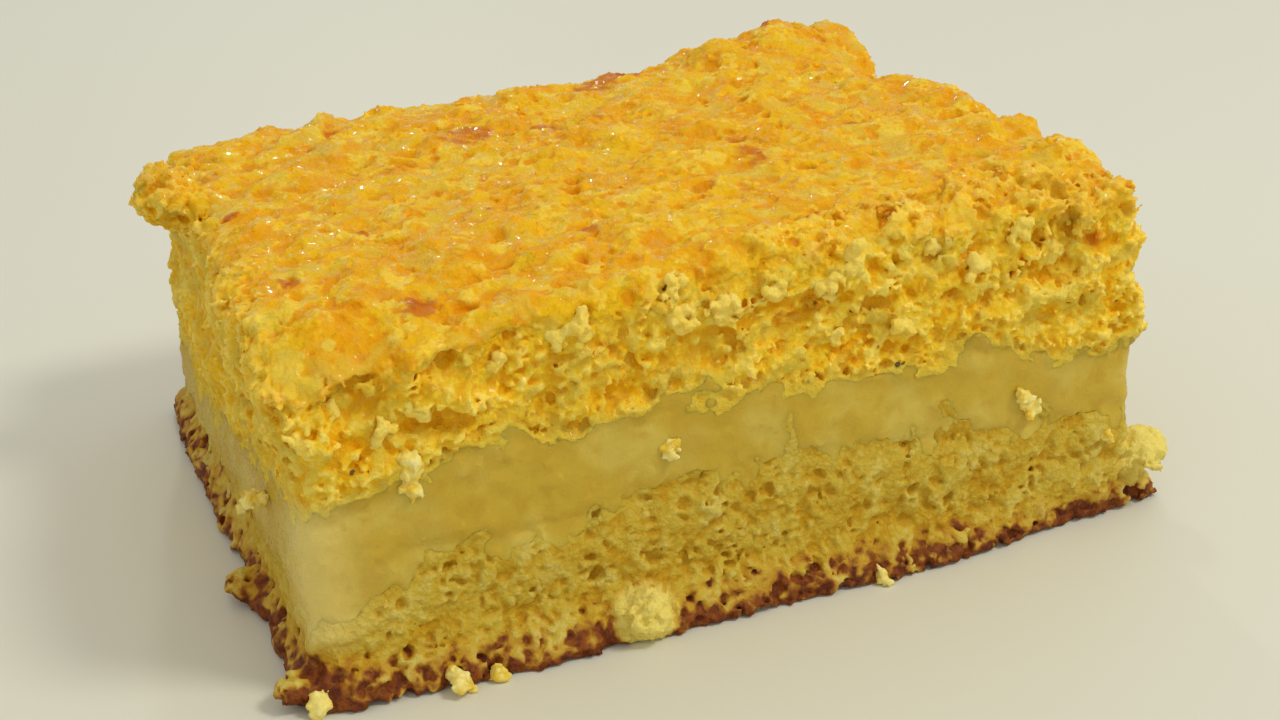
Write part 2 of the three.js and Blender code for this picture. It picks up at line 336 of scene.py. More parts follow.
# Where the golden skin is whole: on the top, down to its ragged rim, and back from the torn edge.
SKIN_BROKEN_BACK = ((-3, 28, 36, 43, 52, 62, 70, 80), (-3, -3, 1, 5, 8, 8, 7, 5))
SKIN_RAGGED, SKIN_SWELLS = 0.35, 0.25
SKIN_FADES, RIM_FADES = (0.5, 1.7), (1.2, 3.0)
BREAK_FADES, LEFT_EDGE_FADES = (-1.0, 1.2), (0.2, 1.6)
RIM_STRAYS, BREAK_STRAYS, EDGE_STRAYS, EDGE_CRINKLE = 0.6, 1.2, 1.0, 0.5

broken_y = along(0, np.interp(X.ravel(), *SKIN_BROKEN_BACK))
skin_depth = below_top + SKIN_RAGGED * rough_2 + SKIN_SWELLS * rough_4
from_sides = np.minimum(np.minimum(X, CAKE_LENGTH - X), np.minimum(Y, CAKE_WIDTH - Y))
skin = np.maximum(1 - ramp(skin_depth, *SKIN_FADES), ramp(from_sides + RIM_STRAYS * rough_2, *RIM_FADES))
skin *= ramp(Y - broken_y + BREAK_STRAYS * rough_5, *BREAK_FADES)
skin *= ramp(X + EDGE_STRAYS * rough_4 + EDGE_CRINKLE * rough_2, *LEFT_EDGE_FADES)

# The torn crumb is coarsest just under the skin, and finer at both ends of the front.
COARSE_DOWN_TO = (3.5, 9.0)
FINER_LEFT, FINER_RIGHT, HALF_AS_COARSE = (2.0, 11.0), (64, 73), 0.5
TORN_WORN = 0.1
TORN_DUG = (
    (rough_4, (0, 0, 0), 0.5, 0.9, -0.3, 1.9),
    (rough_2, (0, 9, 4), 0.28, 0.27, -0.1, 1.9),
    (rough_1, (3, 0, 0), 0.36, 0.0, -0.2, 1.8),
)
TORN_RIDGES, COARSE_RIDGES, TORN_FINE_RIDGES = 0.12, 0.1, 0.24
RIDGE_CREST, FINE_RIDGE_CREST = 0.8, 0.7

coarse = (1 - ramp(below_top, *COARSE_DOWN_TO)) * (HALF_AS_COARSE + HALF_AS_COARSE * ramp(X, *FINER_LEFT))
coarse = coarse * (1 - HALF_AS_COARSE * ramp(X, *FINER_RIGHT))
surface += in_upper * (1 - skin) * kept_rough * (
    sum(dug(TORN_DUG, coarse), TORN_WORN)
    + (TORN_RIDGES + COARSE_RIDGES * coarse) * (RIDGE_CREST - small_ridges)
    + TORN_FINE_RIDGES * (FINE_RIDGE_CREST - fine_ridges)
    + torn_hollows
)
del torn_hollows

SKIN_WORN = 0.12
SKIN_DUG = (
    (rough_2, (2, 8, 0), 0.3, 0.0, 0.4, 2.1),
    (rough_1, (0, 6, 0), 0.22, 0.0, -0.1, 1.9),
)
SKIN_FINE_RIDGES, SKIN_WAVES = 0.13, 0.1
PITS, PIT_LEVEL, PIT_EDGE, PIT_RADII = 160, 0.35, 0.35, (0.5, 0.95)
SKIN_WHOLE_ENOUGH = 0.6

surface += in_upper * skin * (
    sum(dug(SKIN_DUG), SKIN_WORN) - SKIN_FINE_RIDGES * fine_ridges + SKIN_WAVES * rough_4
)
skin *= in_upper
pit_rng = np.random.default_rng(41)
pit_places = places_on(PIT_LEVEL, skin > SKIN_WHOLE_ENOUGH, PITS, pit_rng)
set_balls(surface, pit_places, pit_rng.uniform(*PIT_RADII, len(pit_places)), PIT_EDGE, carve=True)
surface = np.maximum(surface, -Z)
del warp_x, warp_y, warp_z, coarse, porous, kept_rough, fine_ridges, small_ridges, block

# How far a place lies in a hollow (above 0) or on a crag (below 0), from the share of crumb within
# half a millimetre and within a millimetre of it, with random blotches added. It paints shade into
# the crumb's colour: deeper and more saturated in the hollows, paler on the crags.
EDGE_BLUR, STEEPEST = 0.12, 30
NEAR_SHARE, NEAR_MM = 1.2, 0.4
WIDE_SHARE, WIDE_MM = 0.9, 1.1
ON_A_FLAT_FACE = 1.05
SMALL_BLOTCHES, LARGE_BLOTCHES = 0.08, 0.05

occupied = np.fft.rfftn(1 / (1 + np.exp(np.clip(surface / EDGE_BLUR, -STEEPEST, STEEPEST))))
hollow_shade_and_tone = NEAR_SHARE * smoothed(occupied, NEAR_MM) + WIDE_SHARE * smoothed(occupied, WIDE_MM)
hollow_shade_and_tone -= ON_A_FLAT_FACE
hollow_shade_and_tone += SMALL_BLOTCHES * moved(rough_2, 4, 4, 4) + LARGE_BLOTCHES * moved(rough_4, 9, 4, 2)
del occupied

# --- Lower crumb on its browned base -------------------------------------------------------------
# Fine moist sponge, 12 to 16 mm thick, of small even grains and pores. It lay on the tray, so its
# underside and the lowest 2 mm of its sides are baked to a dark brown crust with a ragged edge.
OVERHANG = 0.04
LOWER_TRIANGLES = 195000
FLAT_ENOUGH = 0.04
CUT_FACES_LIE_IN = 0.3
# The third colour is painted shade, laid into the lower crumb's hollows.
LOWER_PALE, LOWER_MEAN, LOWER_HOLLOW_SHADE = (0.65, 0.51, 0.10), (0.60, 0.415, 0.034), (0.54, 0.30, 0.006)
BAKED_EDGE, CRUST_DARK, CRUST_LIGHT = (0.50, 0.24, 0.013), (0.10, 0.015, 0.001), (0.26, 0.065, 0.004)
SMEARED_YELLOW, FALLEN_CRUMB = (0.76, 0.60, 0.16), (0.84, 0.69, 0.15)
FUSED_LUMPS = (((77.9, 1.2, 5.3), (2.5, 2.3, 2.4)), ((27.8, -2.2, 2.7), (2.3, 1.9, 2.2)))
LUMP_REACH, LUMP_EDGE, LUMP_STAYS_PALE = 1.5, 2.0, 4.0
CRUST_RAGGED, CRUST_FINELY_RAGGED, CRUST_REACHES_UP_HOLLOWS = 0.55, 0.35, 2.2
CORNER_BAKED_UP, CORNER_WIDTH, CORNER_LENGTH = 0.9, 3, 8
SMEARED_AT_MOST = 0.95
GRAIN_MM, FINE_GRAIN_MM, GRAINS_COUNT_FOR = 0.55, 0.24, 0.4
MIDDLE_TONE, PALE_TO_MEAN, MEAN_TO_DEEP = -0.17, (-0.34, -0.02), (-0.04, 0.30)
TOAST_MM, TOAST_FADES, EDGE_FADES, CRUST_FADES = 0.8, (0.3, 0.68), (3.8, 2.1), (2.8, 1.7)
CRUST_GRAINS = 0.6


def largest_shell(corner, following, count):
    """Marks the points of the mesh's largest connected part."""
    label = np.arange(count, dtype=np.int32)
    while True:
        smaller = np.minimum(label[corner], label[following])
        np.minimum.at(label, label[corner], smaller)
        np.minimum.at(label, label[following], smaller)
        label = label[label]
        if (label[corner] == label[following]).all():
            break
    return label == np.bincount(label, minlength=count).argmax()


def read_at(field, points):
    """A field's value at each point, worked out between the cells."""
    place = (points + NEAR_LEFT_CORNER) / CELL - first_cell
    base = np.clip(np.floor(place).astype(int), 0, np.array(cells) - 2)
    part = (place - base).astype(np.float32)
    total = np.zeros(len(place), np.float32)
    for corner in np.ndindex(2, 2, 2):
        weight = np.prod(np.where(corner, part, 1 - part), 1)
        total += weight * field[tuple((base + corner).T)]
    return total


def cut_out(name, field, triangles_at_most, one_shell=True):
    """Makes a piece's mesh where the field is below 0, with creases where it is cut from the rest."""
    level_set = openvdb.FloatGrid(1.0)
    level_set.transform = cell_grid
    level_set.copyFromArray(np.clip(field, -1, 1), ijk=tuple(first_cell.tolist()))
    points, triangles, quads = level_set.convertToPolygons(0.0, FLAT_ENOUGH)
    triangles = triangles.astype(np.int32)
    quads = quads.astype(np.int32)
    if one_shell:
        corner = np.concatenate((triangles.ravel(), quads.ravel()))
        following = np.concatenate((np.roll(triangles, 1, 1).ravel(), np.roll(quads, 1, 1).ravel()))
        kept = largest_shell(corner, following, len(points))
        new_index = np.cumsum(kept).astype(np.int32) - 1
        triangles = new_index[triangles[kept[triangles[:, 0]]]]
        quads = new_index[quads[kept[quads[:, 0]]]]
        points = points[kept]
    mesh = bpy.data.meshes.new(name)
    mesh.vertices.add(len(points))
    mesh.vertices.foreach_set("co", (points * MM).astype(np.float32).ravel())
    mesh.loops.add(triangles.size + quads.size)
    mesh.loops.foreach_set("vertex_index", np.concatenate((triangles.ravel(), quads.ravel())))
    mesh.polygons.add(len(triangles) + len(quads))
    starts = np.concatenate((np.arange(len(triangles)) * 3, triangles.size + np.arange(len(quads)) * 4))
    mesh.polygons.foreach_set("loop_start", starts.astype(np.int32))
    mesh.update(calc_edges=True)
    piece = bpy.data.objects.new(name, mesh)
    bpy.context.scene.collection.objects.link(piece)
    count = len(triangles) + 2 * len(quads)
    if count > triangles_at_most:
        decimate = piece.modifiers.new("fewer triangles", "DECIMATE")
        decimate.ratio = triangles_at_most / count
        graph = bpy.context.evaluated_depsgraph_get()
        fewer = bpy.data.meshes.new_from_object(piece.evaluated_get(graph))
        piece.modifiers.clear()
        piece.data = fewer
        bpy.data.meshes.remove(mesh)
        fewer.name = name
        mesh = fewer
    mesh.polygons.foreach_set("use_smooth", np.ones(len(mesh.polygons), bool))
    if one_shell:
        middles = np.empty(len(mesh.polygons) * 3, np.float32)
        mesh.polygons.foreach_get("center", middles)
        depths = read_at(surface, middles.reshape(-1, 3) / MM - NEAR_LEFT_CORNER)
        hidden = depths < -CUT_FACES_LIE_IN * CELL
        corners = np.empty(len(mesh.polygons), np.int32)
        mesh.polygons.foreach_get("loop_total", corners)
        edges = np.empty(len(mesh.loops), np.int32)
        mesh.loops.foreach_get("edge_index", edges)
        hidden_beside = np.bincount(edges, np.repeat(hidden, corners), len(mesh.edges))
        sharp = mesh.attributes.new("sharp_edge", "BOOLEAN", "EDGE")
        sharp.data.foreach_set("value", hidden_beside == 1)
    return piece


def points_of(piece):
    """The piece's points in the block's mm."""
    place = np.empty(len(piece.data.vertices) * 3, np.float32)
    piece.data.vertices.foreach_get("co", place)
    return place.reshape(-1, 3) / MM - NEAR_LEFT_CORNER


def note(piece, key, values):
    """Writes a value on each point of the piece for its finish to read."""
    attribute = piece.data.attributes.new(key, "FLOAT", "POINT")
    attribute.data.foreach_set("value", np.asarray(values, np.float32))


class Finish:
    """A material and short calls for its nodes."""

    NOISE_ROUGHNESS = 0.6
    GRAINS_STRAY_OVER, GRAINS_STRAY_BY = 2.2, 1.2
    SCATTER_BY_COLOUR = (1.0, 0.55, 0.12)

    def __init__(self, name):
        self.material = bpy.data.materials.new(name)
        self.material.use_nodes = True
        self.tree = self.material.node_tree
        self.shader = self.tree.nodes["Principled BSDF"]
        self.shader.subsurface_method = "BURLEY"
        where = self.tree.nodes.new("ShaderNodeTexCoord")
        in_mm = self.tree.nodes.new("ShaderNodeVectorMath")
        in_mm.operation = "SCALE"
        in_mm.inputs["Scale"].default_value = 1 / MM
        self.tree.links.new(where.outputs["Object"], in_mm.inputs[0])
        self.place = in_mm.outputs[0]

    def put(self, socket, value):
        """Sets a socket to a number or a colour, or links it."""
        if isinstance(value, bpy.types.NodeSocket):
            self.tree.links.new(value, socket)
        elif isinstance(value, tuple):
            socket.default_value = (*value, 1)
        else:
            socket.default_value = value

    def noted(self, key):
        """The value that `note` wrote on the piece's points."""
        node = self.tree.nodes.new("ShaderNodeAttribute")
        node.attribute_name = key
        return node.outputs["Fac"]

    def noise(self, size_mm, detail=1.0):
        """Soft cloudy noise from 0 to 1."""
        node = self.tree.nodes.new("ShaderNodeTexNoise")
        node.inputs["Scale"].default_value = 1 / size_mm
        node.inputs["Detail"].default_value = detail
        node.inputs["Roughness"].default_value = self.NOISE_ROUGHNESS
        self.tree.links.new(self.place, node.inputs["Vector"])
        return node.outputs["Fac"]

    def grains(self, size_mm):
        """Distance to the nearest grain's middle, as a share of the grain size."""
        stray = self.tree.nodes.new("ShaderNodeTexNoise")
        stray.inputs["Scale"].default_value = 1 / (self.GRAINS_STRAY_OVER * size_mm)
        stray.inputs["Detail"].default_value = 0.0
        self.tree.links.new(self.place, stray.inputs["Vector"])
        crooked = self.tree.nodes.new("ShaderNodeVectorMath")
        crooked.operation = "MULTIPLY_ADD"
        crooked.inputs[1].default_value = (self.GRAINS_STRAY_BY * size_mm,) * 3
        self.tree.links.new(stray.outputs["Color"], crooked.inputs[0])
        self.tree.links.new(self.place, crooked.inputs[2])
        node = self.tree.nodes.new("ShaderNodeTexVoronoi")
        node.inputs["Scale"].default_value = 1 / size_mm
        self.tree.links.new(crooked.outputs[0], node.inputs["Vector"])
        return node.outputs["Distance"]

    def sum(self, a, b, share=1.0):
        """`a` with a share of `b` added to it."""
        node = self.tree.nodes.new("ShaderNodeMath")
        node.operation = "MULTIPLY_ADD"
        self.put(node.inputs[0], b)
        self.put(node.inputs[1], share)
        self.put(node.inputs[2], a)
        return node.outputs[0]

    def between(self, value, start, end, low=0.0, high=1.0):
        """Goes softly from `low` to `high` as the value goes from `start` to `end`."""
        node = self.tree.nodes.new("ShaderNodeMapRange")
        node.interpolation_type = "SMOOTHSTEP"
        self.put(node.inputs["Value"], value)
        node.inputs["From Min"].default_value = start
        node.inputs["From Max"].default_value = end
        node.inputs["To Min"].default_value = low
        node.inputs["To Max"].default_value = high
        return node.outputs["Result"]

    def mix(self, amount, first, second):
        """The first colour at amount 0, the second at 1."""
        node = self.tree.nodes.new("ShaderNodeMix")
        node.data_type = "RGBA"
        self.put(node.inputs[0], amount)
        self.put(node.inputs[6], first)
        self.put(node.inputs[7], second)
        return node.outputs[2]

    def done(self, piece, colour, height, depth_mm, scatter, scatter_mm, rough, gloss):
        """Joins colour and fine relief to the shader, and gives the piece the material."""
        bump = self.tree.nodes.new("ShaderNodeBump")
        self.put(bump.inputs["Height"], height)
        bump.inputs["Distance"].default_value = depth_mm * MM
        self.tree.links.new(bump.outputs["Normal"], self.shader.inputs["Normal"])
        self.put(self.shader.inputs["Base Color"], colour)
        self.put(self.shader.inputs["Roughness"], rough)
        self.shader.inputs["Subsurface Weight"].default_value = scatter
        self.shader.inputs["Subsurface Radius"].default_value = self.SCATTER_BY_COLOUR
        self.shader.inputs["Subsurface Scale"].default_value = scatter_mm * MM
        self.shader.inputs["Specular IOR Level"].default_value = gloss
        piece.data.materials.append(self.material)


def crumb_colours(finish, pale, mean, deep):
    """Pale on the crags and grains, deep in the hollows between them, and the grains' relief. Fed the
    hollow measure, this is painted shade: deep colour in the hollows, paler crags.
    """
    grains = finish.grains(GRAIN_MM)
    speckled = finish.sum(finish.sum(finish.noted("hollow_shade_and_tone"), MIDDLE_TONE), grains, GRAINS_COUNT_FOR)
    colour = finish.mix(finish.between(speckled, *PALE_TO_MEAN), pale, mean)
    colour = finish.mix(finish.between(speckled, *MEAN_TO_DEEP), colour, deep)
    height = finish.sum(finish.noise(FINE_GRAIN_MM), grains, -1.0)
    return colour, height, grains


lower = cut_out("lower_crumb_piece", np.maximum(surface, -below_cream - OVERHANG), LOWER_TRIANGLES)
points = points_of(lower)
fallen = np.zeros(len(points))
for middle, size in FUSED_LUMPS:
    fallen = np.maximum(fallen, LUMP_REACH - np.linalg.norm((points - middle) / size, axis=1))
fallen = np.clip(LUMP_EDGE * fallen, 0, 1)
# The hollow measure read here is painted shade for the crumb's colour, with some random tone.
shade_and_tone_here = read_at(hollow_shade_and_tone, points)
ragged = CRUST_RAGGED * read_at(rough_1, points + (0, 6, 0))
ragged += CRUST_FINELY_RAGGED * read_at(rough_half, points)
near_corner = np.exp(-((points[:, 0] / CORNER_WIDTH) ** 2) - (points[:, 1] / CORNER_LENGTH) ** 2)
above_base = points[:, 2] + ragged + LUMP_STAYS_PALE * fallen
# The crust's darker colours reach higher in the hollows.
above_base -= CRUST_REACHES_UP_HOLLOWS * shade_and_tone_here + CORNER_BAKED_UP * near_corner
note(lower, "hollow_shade_and_tone", shade_and_tone_here)
note(lower, "smeared", SMEARED_AT_MOST * read_at(smeared, points))
note(lower, "fallen", fallen)
note(lower, "above_base", above_base)

finish = Finish("fine lower crumb on its browned base")
colour, height, grains = crumb_colours(finish, LOWER_PALE, LOWER_MEAN, LOWER_HOLLOW_SHADE)
colour = finish.mix(finish.noted("smeared"), colour, SMEARED_YELLOW)
colour = finish.mix(finish.noted("fallen"), colour, FALLEN_CRUMB)
above_base = finish.sum(finish.noted("above_base"), grains, CRUST_GRAINS)
toasted = finish.between(finish.noise(TOAST_MM, detail=2.0), *TOAST_FADES)
toast = finish.mix(toasted, CRUST_DARK, CRUST_LIGHT)
colour = finish.mix(finish.between(above_base, *EDGE_FADES), colour, BAKED_EDGE)
colour = finish.mix(finish.between(above_base, *CRUST_FADES), colour, toast)
finish.done(lower, colour, height, depth_mm=0.12, scatter=0.35, scatter_mm=0.5, rough=0.65, gloss=0.25)
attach(lower, "root")
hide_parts("lower_crumb")

# --- Cream ---------------------------------------------------------------------------------------
# A band of set cream, 3 to 8 mm thick, that parted from the batter in the oven. It is dense, smooth
# and slightly translucent, with darker patches and a moist sheen, and runs a little under the crumb.
CREAM_TRIANGLES = 120000
LAP, SUNK_UNDER_CRUMB, SINKS_OVER = 0.35, 0.08, (0.0, 0.12)
CREAM_PALE, CREAM_DARK, CREAM_SOAKED = (0.63, 0.47, 0.068), (0.58, 0.39, 0.028), (0.52, 0.32, 0.014)
CREAM_SMEARED = (0.78, 0.62, 0.17)
DARKER_AT_SEAM, SEAM_FADES, SOAKED_SPOTS, SPOTS_FADE = 0.6, (-1.3, 0.0), 0.65, (0.2, 1.8)
BLOTCHES_FADE, SMALL_SHARE, FINE_SHARE = (-0.9, 1.0), 0.4, 0.5
SHEEN_MM, SHEEN_FADES, CREAM_ROUGH, CREAM_MOIST = 0.45, (0.55, 0.66), 0.5, 0.14

past_seam = np.maximum(below_cream, above_cream)
under_crumb = surface + SUNK_UNDER_CRUMB * ramp(past_seam, *SINKS_OVER)
cream = cut_out("cream_piece", np.maximum(under_crumb, past_seam - LAP), CREAM_TRIANGLES)
del under_crumb, past_seam
points = points_of(cream)
# The cream is darker along its seam under the crumb.
soaked = DARKER_AT_SEAM * ramp(read_at(above_cream, points), *SEAM_FADES)
blotches = read_at(rough_5, points + (0, 9, 0)) + SMALL_SHARE * read_at(rough_2, points)
small_blotches = read_at(rough_1, points + (9, 0, 0)) + FINE_SHARE * read_at(rough_half, points)
note(cream, "dark", ramp(blotches, *BLOTCHES_FADE))
note(cream, "soaked", np.maximum(soaked, SOAKED_SPOTS * ramp(small_blotches, *SPOTS_FADE)))
note(cream, "smeared", SMEARED_AT_MOST * read_at(smeared, points))

finish = Finish("set cream")
colour = finish.mix(finish.noted("dark"), CREAM_PALE, CREAM_DARK)
colour = finish.mix(finish.noted("soaked"), colour, CREAM_SOAKED)
colour = finish.mix(finish.noted("smeared"), colour, CREAM_SMEARED)
moist = finish.between(finish.noise(SHEEN_MM), *SHEEN_FADES, CREAM_ROUGH, CREAM_MOIST)
height = finish.noise(0.6, detail=2.0)
finish.done(cream, colour, height, depth_mm=0.07, scatter=0.7, scatter_mm=0.9, rough=moist, gloss=0.35)
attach(cream, "root")
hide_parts("cream_layer")

# --- Upper crumb and its golden top --------------------------------------------------------------
# Coarse torn sponge, 9 to 15 mm thick, with pale flakes round saturated hollows. The oven baked its
# top 1 to 2 mm to a granular golden skin with orange and brown spots, broken away along the front.
UPPER_TRIANGLES = 195000
SKIN_THICKNESS, SKIN_FLOOR_CRINKLE, SKIN_FLOOR_SWELLS = 1.4, 0.5, 0.3
# The third colour is painted shade, laid into the upper crumb's hollows.
UPPER_PALE, UPPER_MEAN, UPPER_HOLLOW_SHADE = (0.92, 0.72, 0.12), (0.87, 0.57, 0.022), (0.80, 0.40, 0.002)
UPPER_SMEARED, UPPER_SOAKED = (0.85, 0.68, 0.17), (0.66, 0.48, 0.05)
GOLD, AMBER, FRECKLE = (0.83, 0.485, 0.007), (0.81, 0.385, 0.003), (0.78, 0.32, 0.002)
# The second colour is painted shade for the skin's pits and hollows.
PALE_GOLD, PIT_SHADE_ORANGE = (0.87, 0.61, 0.05), (0.78, 0.33, 0.002)
BAKED_ORANGE, BAKED_BROWN = (0.58, 0.16, 0.001), (0.46, 0.10, 0.001)
# Spots on the top: place along and across it, width and strength.
BROWNED_SPOTS = (
    (12.4, 4.6, 1.9, 1.0),
    (48.8, 22.3, 2.2, 0.7),
    (27.4, 43.2, 4.6, 0.5),
    (28.9, 12.4, 1.3, 0.7),
    (4.1, 13.5, 1.4, 0.6),
    (60.8, 26.4, 1.8, 0.5),
    (46.4, 6.4, 1.2, 0.6),
    (12.2, 21.5, 1.0, 0.7),
    (7.5, 43.8, 1.3, 0.5),
    (3.0, 32.6, 1.1, 0.5),
    (16.4, 51.5, 1.6, 0.5),
    (60.8, 10.0, 1.0, 0.5),
    (19.6, 36.8, 2.8, 0.35),
    (35.5, 41.5, 3.4, 0.3),
    (40.5, 39.5, 3.4, 0.3),
    (44.5, 52.5, 5.0, 0.4),
    (49.2, 27.7, 1.6, 0.6),
    (23.3, 20.8, 0.9, 0.4),
    (48.5, 56.0, 2.5, 0.7),
    (66.0, 58.0, 2.5, 0.7),
)
# Spots on the front face, under the skin: place along and up it, and width.
FRONT_ORANGE = ((41.8, 25.2, 2.2), (38.0, 27.0, 1.6), (57.0, 27.5, 1.4), (70.5, 27.5, 1.6))
FRONT_ORANGE_STRENGTH, FRONT_SPOTS_WITHIN, TOP_SPOTS_ABOVE = 0.28, 6, 24
BROWNED_STRENGTH, BROWNED_CRINKLE, BROWNED_UNEVEN = 1.6, 0.35, 0.25
ON_SKIN_FADES, NEAR_TOP_GOLD, NEAR_TOP_FADES, NEAR_TOP_UNEVEN = (0.15, 0.9), 0.5, (0.0, 3.2), 0.6
SOAKED_AT_MOST, SOAKED_FADES, SOAKED_CRINKLE = 0.85, (0.0, 2.0), 0.3
AMBER_FADES, AMBER_UNEVEN = (-0.8, 1.0), 0.4
FRECKLES, FRECKLES_FADE = (0.5, 0.3), ((-0.4, 1.8), (0.0, 1.8))
PALE_FADES, PALE_CRINKLE = (-0.2, 1.8), 0.5
FRECKLE_GRAINS, FRECKLE_TONES, FRECKLE_AT_MOST = 0.9, (0.55, 1.35), 0.85
PALE_GRAINS, PALE_TONES, PALE_AT_MOST = -0.9, (-0.15, 0.55), 0.85
PIT_SHADE_TONES, BROWN_GRAINS = (0.02, 0.24), -0.2
ORANGE_TONES, ORANGE_AT_MOST = (0.06, 0.60), 0.9
BROWN_TONES, BROWN_AT_MOST = (0.7, 1.5), 0.8
MOIST_MM, MOIST_TONES, DRY_ROUGH = 0.45, (0.52, 0.6), 0.72
WET_MM, WET_TONES, WET_ROUGH = 1.0, (0.54, 0.64), 0.1

skin_floor = below_top - SKIN_THICKNESS - SKIN_FLOOR_CRINKLE * rough_2 - SKIN_FLOOR_SWELLS * rough_4
torn_part = np.maximum(-above_cream - OVERHANG, -skin_floor - LAP)
upper = cut_out("upper_crumb_piece", np.maximum(surface, torn_part), UPPER_TRIANGLES)
del torn_part
top = cut_out("golden_top_piece", np.maximum(surface, skin_floor - LAP), UPPER_TRIANGLES)


def golden_colours(finish, colour, grains):
    """Lays the baked colours over the crumb, by the shares noted on its points."""
    golden = finish.mix(finish.noted("amber"), GOLD, AMBER)
    freckles = finish.sum(finish.noted("freckled"), grains, FRECKLE_GRAINS)
    freckles = finish.between(freckles, *FRECKLE_TONES, high=FRECKLE_AT_MOST)
    golden = finish.mix(freckles, golden, FRECKLE)
    pale = finish.sum(finish.noted("pale"), grains, PALE_GRAINS)
    golden = finish.mix(finish.between(pale, *PALE_TONES, high=PALE_AT_MOST), golden, PALE_GOLD)
    # Painted shade: the skin's pits and hollows turn a saturated orange.
    golden = finish.mix(finish.between(finish.noted("hollow_shade_and_tone"), *PIT_SHADE_TONES), golden, PIT_SHADE_ORANGE)
    colour = finish.mix(finish.noted("golden"), colour, golden)
    brown = finish.sum(finish.noted("browned"), grains, BROWN_GRAINS)
    colour = finish.mix(finish.between(brown, *ORANGE_TONES, high=ORANGE_AT_MOST), colour, BAKED_ORANGE)
    return finish.mix(finish.between(brown, *BROWN_TONES, high=BROWN_AT_MOST), colour, BAKED_BROWN)


def spot(across, up, width):
    """A round spot that fades outwards, from its points' distances in mm along two axes."""
    return np.exp(-(across**2 + up**2) / (2 * (0.5 * width) ** 2))


for piece, name, glint, grain_depth, wetness in (
    (upper, "coarse upper crumb", 0.4, 0.12, 0.3),
    (top, "golden baked top", 0.05, 0.1, 0.5),
):
    points = points_of(piece)
    uneven = read_at(rough_2, points + (0, 11, 0))
    small = read_at(rough_1, points + (12, 0, 3))
    depth = read_at(np.broadcast_to(below_top, cells), points)
    on_skin = ramp(read_at(skin, points), *ON_SKIN_FADES)
    near_top = NEAR_TOP_GOLD * (1 - ramp(depth + NEAR_TOP_UNEVEN * uneven, *NEAR_TOP_FADES))
    over_cream = read_at(above_cream, points) + SOAKED_CRINKLE * small
    amber = read_at(rough_4, points + (0, 9, 0)) + AMBER_UNEVEN * uneven
    pale = read_at(rough_2, points + (6, 0, 2)) + PALE_CRINKLE * small
    freckled = FRECKLES[0] * ramp(small, *FRECKLES_FADE[0]) + FRECKLES[1] * ramp(uneven, *FRECKLES_FADE[1])
    browned = sum(
        strength * spot(points[:, 0] - x, points[:, 1] - y, width)
        for x, y, width, strength in BROWNED_SPOTS
    )
    orange = sum(
        FRONT_ORANGE_STRENGTH * spot(points[:, 0] - x, points[:, 2] - z, width)
        for x, z, width in FRONT_ORANGE
    )
    browned = browned * (points[:, 2] > TOP_SPOTS_ABOVE) + orange * (points[:, 1] < FRONT_SPOTS_WITHIN)
    browned = BROWNED_STRENGTH * browned * (1 + BROWNED_CRINKLE * small + BROWNED_UNEVEN * uneven)
    # The hollow measure read here is painted shade for the crumb's colour, with some random tone.
    note(piece, "hollow_shade_and_tone", read_at(hollow_shade_and_tone, points))
    note(piece, "smeared", SMEARED_AT_MOST * read_at(smeared, points))
    note(piece, "soaked", SOAKED_AT_MOST * (1 - ramp(over_cream, *SOAKED_FADES)))
    note(piece, "golden", np.maximum(on_skin, near_top))
    note(piece, "amber", ramp(amber, *AMBER_FADES))
    note(piece, "freckled", freckled)
    note(piece, "pale", ramp(pale, *PALE_FADES))
    note(piece, "browned", browned)
    finish = Finish(name)
    colour, height, grains = crumb_colours(finish, UPPER_PALE, UPPER_MEAN, UPPER_HOLLOW_SHADE)
    colour = finish.mix(finish.noted("soaked"), colour, UPPER_SOAKED)
    colour = finish.mix(finish.noted("smeared"), colour, UPPER_SMEARED)
    colour = golden_colours(finish, colour, grains)
    moist = finish.between(finish.noise(MOIST_MM), *MOIST_TONES, low=DRY_ROUGH, high=glint)
    wet = finish.between(finish.noise(WET_MM), *WET_TONES, high=wetness)
    finish.put(finish.shader.inputs["Coat Weight"], wet)
    finish.shader.inputs["Coat Roughness"].default_value = WET_ROUGH
    finish.done(piece, colour, height, grain_depth, scatter=0.6, scatter_mm=0.65, rough=moist, gloss=0.12)
    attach(piece, "root")
    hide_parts("upper_crumb")

